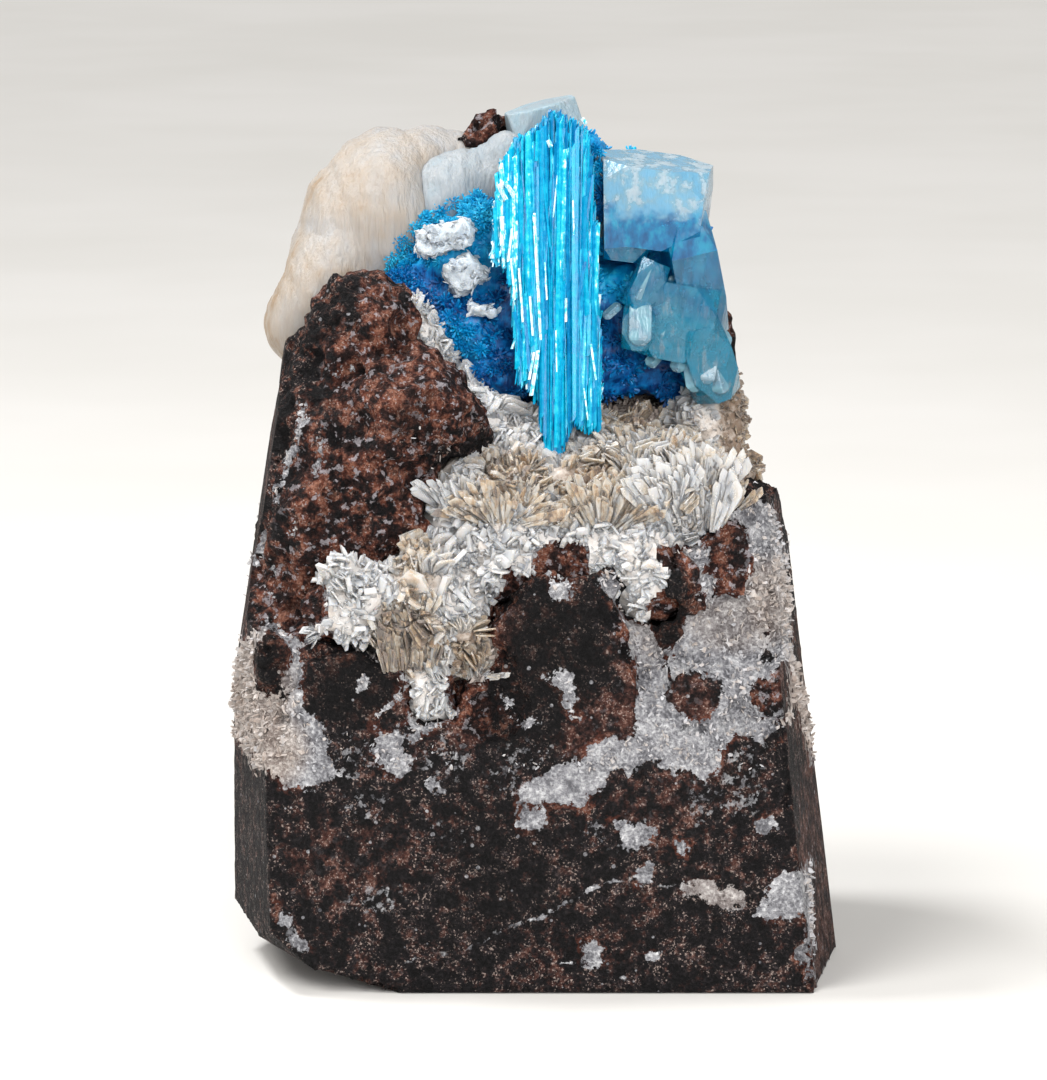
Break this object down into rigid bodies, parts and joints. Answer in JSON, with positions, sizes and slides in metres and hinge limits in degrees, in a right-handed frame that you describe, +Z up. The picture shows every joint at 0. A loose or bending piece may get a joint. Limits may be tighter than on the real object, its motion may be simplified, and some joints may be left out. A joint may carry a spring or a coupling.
{
  "type": "cavansite specimen",
  "caption": "Upright mineral specimen: a sawn, tapering block of basalt breccia whose open pocket holds stilbite, blue cavansite with a hanging spray, and clear apophyllite.",
  "frame": {"origin": "under the middle of the bounding box, on the plane that the sawn base stands on", "axes": "+Z up along the specimen's height, -Y out of the open pocket towards the viewer, +X to the viewer's right"},
  "size_m": [0.0287, 0.0213, 0.04],
  "materials": {
    "basalt": "rough dark red-brown basalt with small pits, sawn dull on the lower faces, with sugary white zeolite between its fragments",
    "stilbite": "white to beige glassy crystal plates",
    "cream": "cream, silky, softly ribbed crystal mass",
    "milky": "milky, faintly bluish crystal",
    "deep_blue": "deep royal blue crust of fine radiating needles",
    "bright_blue": "bright cyan-blue, glassy parallel blades",
    "clear": "clear, faintly blue crystal with white veils"
  },
  "bodies": {
    "root": {"basalt_matrix": "basalt", "stilbite_druse": "stilbite", "cream_stilbite": "cream", "milky_stilbite": "milky", "milky_top_crystal": "milky", "cavansite_crust": "deep_blue", "cavansite_spray": "bright_blue", "clear_apophyllite": "clear", "pale_stilbite_upper": "stilbite", "pale_stilbite_lower": "stilbite", "pale_stilbite_lens": "stilbite"}
  },
  "joints": []
}
